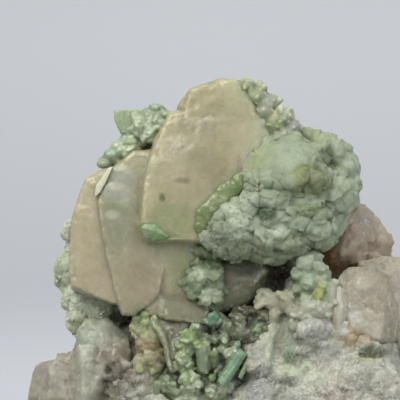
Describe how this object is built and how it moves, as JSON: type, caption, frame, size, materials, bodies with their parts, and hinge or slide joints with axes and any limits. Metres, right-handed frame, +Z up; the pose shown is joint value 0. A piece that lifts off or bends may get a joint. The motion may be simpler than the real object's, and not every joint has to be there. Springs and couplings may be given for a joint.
{
  "type": "pollucite mineral specimen",
  "caption": "Hand specimen of tan pollucite crystals with green tourmaline and a mint crust on pale quartz and feldspar matrix.",
  "frame": {"origin": "centre of the flat resting face under the matrix", "axes": "+Z up, +X to the right of the show face, +Y towards the back; the show face looks along -Y"},
  "size_m": [0.072, 0.0421, 0.07],
  "materials": {
    "pollucite": "translucent waxy tan crystal, grey green and peach in places, with white veils",
    "smoky_quartz": "pink brown smoky crystal, glassy",
    "milky_quartz": "milky grey beige crystal with white patches",
    "mint_crust": "matt mint green crust of fine rounded scales, white in places",
    "tourmaline": "glassy green prisms and beads",
    "matrix": "granular grey white rock, rough"
  },
  "bodies": {
    "root": {"matrix_rock": "matrix", "pollucite_crystals": "pollucite", "smoky_quartz": "smoky_quartz", "quartz_right": "milky_quartz", "quartz_left": "milky_quartz", "mint_boss": "mint_crust", "mint_crest": "mint_crust", "mint_pillar": "mint_crust", "mint_crust_left": "mint_crust", "mint_crust_centre": "mint_crust", "mint_crust_column": "mint_crust", "tourmaline_spray": "tourmaline", "tourmaline_pocket": "tourmaline", "tourmaline_rim": "tourmaline", "tourmaline_bead": "tourmaline"}
  },
  "joints": []
}
